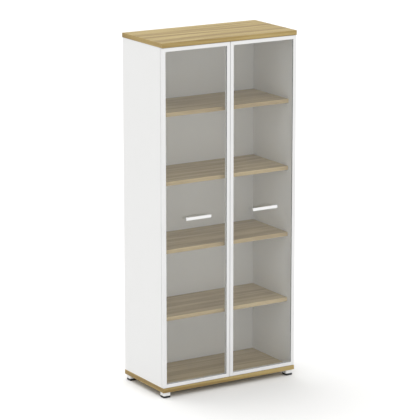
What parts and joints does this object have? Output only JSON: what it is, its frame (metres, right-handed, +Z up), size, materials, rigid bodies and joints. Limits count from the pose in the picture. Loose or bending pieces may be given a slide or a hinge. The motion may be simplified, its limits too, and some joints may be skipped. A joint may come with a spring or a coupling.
{
  "type": "storage cabinet",
  "caption": "Tall storage cabinet with framed glass doors on corner pivots, oak top, base and shelves, white sides and back, bar handles and levelling feet.",
  "frame": {"origin": "on the floor, in the middle of the footprint from the front of the handles to the back edge of the top panel", "axes": "+Z up, +X to the right seen from the front, the doors face -Y"},
  "size_m": [0.85, 0.45, 1.956],
  "materials": {
    "oak": "light oak decor, matt",
    "white_board": "white melamine-faced board, satin",
    "door_frame": "white powder coat",
    "handle": "white lacquer, satin",
    "door_glass": "clear, polished",
    "seal": "matt",
    "foot_sleeve": "white, satin",
    "foot_pad": "black, matt",
    "plastic": "grey, moulded",
    "zinc": "zinc plated"
  },
  "bodies": {
    "root": {"top_panel": "oak", "base_panel": "oak", "side_panel_left": "white_board", "side_panel_right": "white_board", "back_panel": "white_board", "shelf_1": "oak", "shelf_2_fixed": "oak", "shelf_3": "oak", "shelf_4": "oak", "shelf_pin_1_left_front": "zinc", "shelf_pin_1_left_back": "zinc", "shelf_pin_1_right_front": "zinc", "shelf_pin_1_right_back": "zinc", "shelf_pin_3_left_front": "zinc", "shelf_pin_3_left_back": "zinc", "shelf_pin_3_right_front": "zinc", "shelf_pin_3_right_back": "zinc", "shelf_pin_4_left_front": "zinc", "shelf_pin_4_left_back": "zinc", "shelf_pin_4_right_front": "zinc", "shelf_pin_4_right_back": "zinc", "pivot_bush_bottom_left": "plastic", "pivot_bush_bottom_right": "plastic", "pivot_bush_top_left": "plastic", "pivot_bush_top_right": "plastic", "magnetic_catch": "plastic", "foot_sleeve_front_left": "foot_sleeve", "foot_sleeve_front_right": "foot_sleeve", "foot_sleeve_back_left": "foot_sleeve", "foot_sleeve_back_right": "foot_sleeve"},
    "door_left": {"door_left_hinge_stile": "door_frame", "door_left_meeting_stile": "door_frame", "door_left_top_rail": "door_frame", "door_left_bottom_rail": "door_frame", "door_left_top_pivot": "zinc", "door_left_bottom_pivot": "zinc", "door_left_glass": "door_glass", "door_left_gasket": "seal", "door_left_handle": "handle", "door_left_striker": "zinc"},
    "door_right": {"door_right_hinge_stile": "door_frame", "door_right_meeting_stile": "door_frame", "door_right_top_rail": "door_frame", "door_right_bottom_rail": "door_frame", "door_right_top_pivot": "zinc", "door_right_bottom_pivot": "zinc", "door_right_glass": "door_glass", "door_right_gasket": "seal", "door_right_handle": "handle", "door_right_striker": "zinc"},
    "pad_front_left": {"foot_pad_front_left": "foot_pad"},
    "pad_front_right": {"foot_pad_front_right": "foot_pad"},
    "pad_back_left": {"foot_pad_back_left": "foot_pad"},
    "pad_back_right": {"foot_pad_back_right": "foot_pad"},
    "screw_front_left": {"foot_screw_front_left": "zinc"},
    "screw_front_right": {"foot_screw_front_right": "zinc"},
    "screw_back_left": {"foot_screw_back_left": "zinc"},
    "screw_back_right": {"foot_screw_back_right": "zinc"}
  },
  "joints": [
    {"name": "door_left_hinge", "type": "hinge", "parent": "root", "child": "door_left", "pos_m": [-0.4165, -0.1865, 0.059], "axis": [0, 0, -1], "range_deg": [0, 100]},
    {"name": "door_right_hinge", "type": "hinge", "parent": "root", "child": "door_right", "pos_m": [0.4165, -0.1865, 0.059], "axis": [0, 0, 1], "range_deg": [0, 100]},
    {"name": "screw_turn_front_left", "type": "hinge", "parent": "root", "child": "screw_front_left", "pos_m": [-0.397, -0.173, 0.032], "axis": [0, 0, 1], "range_deg": [0, 2880]},
    {"name": "pad_slide_front_left", "type": "slide", "parent": "root", "child": "pad_front_left", "axis": [0, 0, -1], "range_m": [0, 0.01]},
    {"name": "screw_turn_front_right", "type": "hinge", "parent": "root", "child": "screw_front_right", "pos_m": [0.397, -0.173, 0.032], "axis": [0, 0, 1], "range_deg": [0, 2880]},
    {"name": "pad_slide_front_right", "type": "slide", "parent": "root", "child": "pad_front_right", "axis": [0, 0, -1], "range_m": [0, 0.01]},
    {"name": "screw_turn_back_left", "type": "hinge", "parent": "root", "child": "screw_back_left", "pos_m": [-0.397, 0.197, 0.032], "axis": [0, 0, 1], "range_deg": [0, 2880]},
    {"name": "pad_slide_back_left", "type": "slide", "parent": "root", "child": "pad_back_left", "axis": [0, 0, -1], "range_m": [0, 0.01]},
    {"name": "screw_turn_back_right", "type": "hinge", "parent": "root", "child": "screw_back_right", "pos_m": [0.397, 0.197, 0.032], "axis": [0, 0, 1], "range_deg": [0, 2880]},
    {"name": "pad_slide_back_right", "type": "slide", "parent": "root", "child": "pad_back_right", "axis": [0, 0, -1], "range_m": [0, 0.01]}
  ],
  "couplings": [
    {"joint": "pad_slide_front_left", "follows": "screw_turn_front_left", "m_per_rad": 0.00019894},
    {"joint": "pad_slide_front_right", "follows": "screw_turn_front_right", "m_per_rad": 0.00019894},
    {"joint": "pad_slide_back_left", "follows": "screw_turn_back_left", "m_per_rad": 0.00019894},
    {"joint": "pad_slide_back_right", "follows": "screw_turn_back_right", "m_per_rad": 0.00019894}
  ]
}
